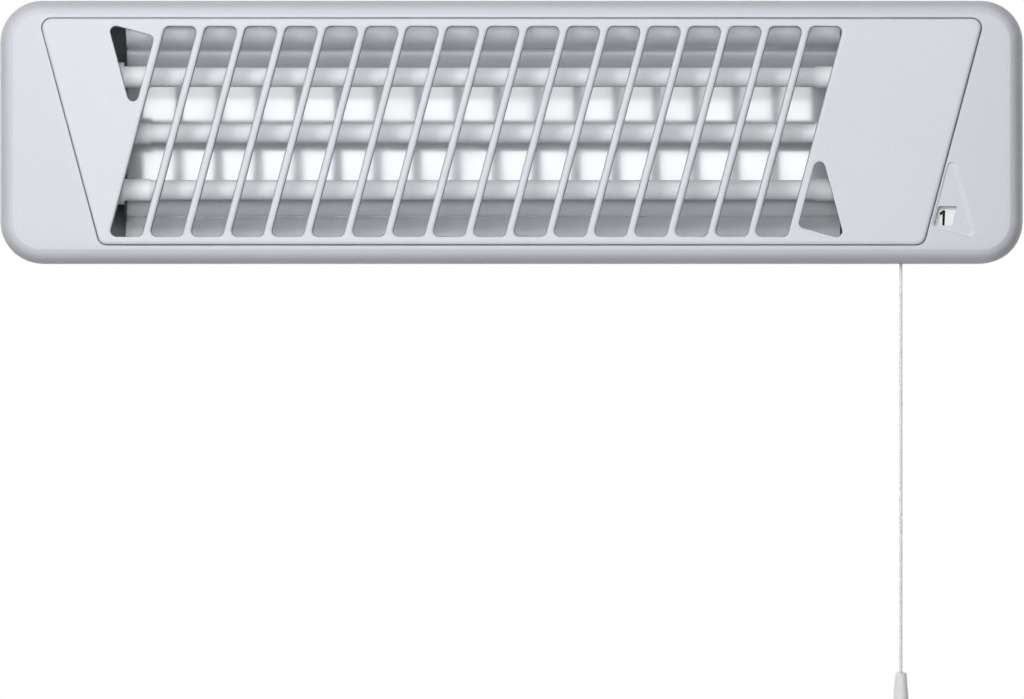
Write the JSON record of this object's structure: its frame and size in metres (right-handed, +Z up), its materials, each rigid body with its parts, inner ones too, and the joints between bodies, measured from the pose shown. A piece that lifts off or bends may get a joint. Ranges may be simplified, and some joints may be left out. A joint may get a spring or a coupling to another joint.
{
  "type": "wall-mounted infrared heater",
  "caption": "Wall-mounted infrared heater: leaning-bar grille over quartz tubes in a curved reflector, pull-cord switch with a number window, tilting on a wall bracket.",
  "frame": {"origin": "middle of the four wall screws on the wall face of the bracket", "axes": "+X to the right along the casing as seen from the room, +Y into the wall, +Z up"},
  "size_m": [0.525, 0.11, 0.3591],
  "materials": {
    "casing_paint": "die-cast, satin silver grey paint",
    "panel_paint": "die-cast, satin silver grey paint",
    "cover_paint": "pressed sheet, satin grey paint",
    "bracket_paint": "fine textured grey powder coat",
    "plated_steel": "zinc plated",
    "spring_steel": "bright spring strip",
    "polished_aluminium": "polished, mirror bright",
    "end_plate_steel": "dull sheet steel",
    "frosted_quartz": "frosted, milky",
    "resistance_wire": "dull, oxidised",
    "glazed_ceramic": "fine matt ceramic",
    "contact_brass": "plain rolled",
    "switch_plastic": "moulded, matt",
    "white_plastic": "moulded, smooth",
    "bell_plastic": "moulded, smooth",
    "clear_plastic": "clear",
    "sleeved_wire": "woven glass sleeve",
    "braided_cord": "fine braid",
    "fibre": "pressed fibre",
    "black_rubber": "matt",
    "brown_insulation": "smooth",
    "blue_insulation": "smooth"
  },
  "bodies": {
    "wall_bracket": {"wall_bracket": "bracket_paint", "pivot_bolts": "plated_steel", "pivot_nuts": "plated_steel"},
    "heater": {"front_casing": "casing_paint", "grille_panel": "panel_paint", "panel_screws": "plated_steel", "window_lens": "clear_plastic", "reflector": "polished_aluminium", "reflector_end_left": "end_plate_steel", "reflector_end_right": "end_plate_steel", "reflector_screws": "plated_steel", "quartz_tube_top": "frosted_quartz", "quartz_tube_middle": "frosted_quartz", "quartz_tube_bottom": "frosted_quartz", "heating_coil_top": "resistance_wire", "heating_coil_middle": "resistance_wire", "heating_coil_bottom": "resistance_wire", "ceramic_caps_left": "glazed_ceramic", "ceramic_caps_right": "glazed_ceramic", "bus_bar": "contact_brass", "switch_housing": "switch_plastic", "switch_cover": "switch_plastic", "switch_screws": "plated_steel", "switch_contacts": "contact_brass", "switch_leads": "sleeved_wire", "return_spring": "spring_steel", "cord_bush": "white_plastic", "rear_cover": "cover_paint", "cover_screws": "plated_steel", "tilt_lug_left": "bracket_paint", "tilt_lug_right": "bracket_paint", "lug_rivets": "plated_steel", "friction_washers": "fibre", "cable_grommet": "black_rubber", "terminal_block": "switch_plastic", "wire_clips": "switch_plastic", "live_wire": "brown_insulation", "neutral_wire": "blue_insulation"},
    "number_disc": {"number_disc": "white_plastic", "ratchet_wheel": "white_plastic"},
    "cord_wheel": {"cord_wheel": "white_plastic", "drive_pawl": "white_plastic", "wound_cord": "braided_cord"},
    "cord_slide": {"cord_lead": "braided_cord"},
    "hanging_cord": {"pull_cord": "braided_cord", "cord_knot": "braided_cord", "cord_bell": "bell_plastic"}
  },
  "joints": [
    {"name": "tilt", "type": "hinge", "parent": "wall_bracket", "child": "heater", "pos_m": [0, -0.022, 0], "axis": [1, 0, 0], "range_deg": [0, 40]},
    {"name": "cord_pull", "type": "slide", "parent": "heater", "child": "cord_slide", "axis": [0, 0, -1], "range_m": [0, 0.012], "stiffness_N_per_m": 400, "springref_m": -0.008},
    {"name": "cord_hang", "type": "hinge", "parent": "cord_slide", "child": "hanging_cord", "pos_m": [0.2001, -0.088, -0.0656], "axis": [1, 0, 0], "range_deg": [-40, 0]},
    {"name": "wheel_turn", "type": "hinge", "parent": "heater", "child": "cord_wheel", "pos_m": [0.2097, -0.088, -0.0432], "axis": [0, -1, 0], "range_deg": [0, 75]},
    {"name": "number_turn", "type": "hinge", "parent": "heater", "child": "number_disc", "pos_m": [0.2097, -0.088, -0.0432], "axis": [0, -1, 0], "continuous": true}
  ],
  "couplings": [
    {"joint": "cord_hang", "follows": "tilt", "ratio": -1},
    {"joint": "wheel_turn", "follows": "cord_pull", "rad_per_m": 104.17}
  ]
}
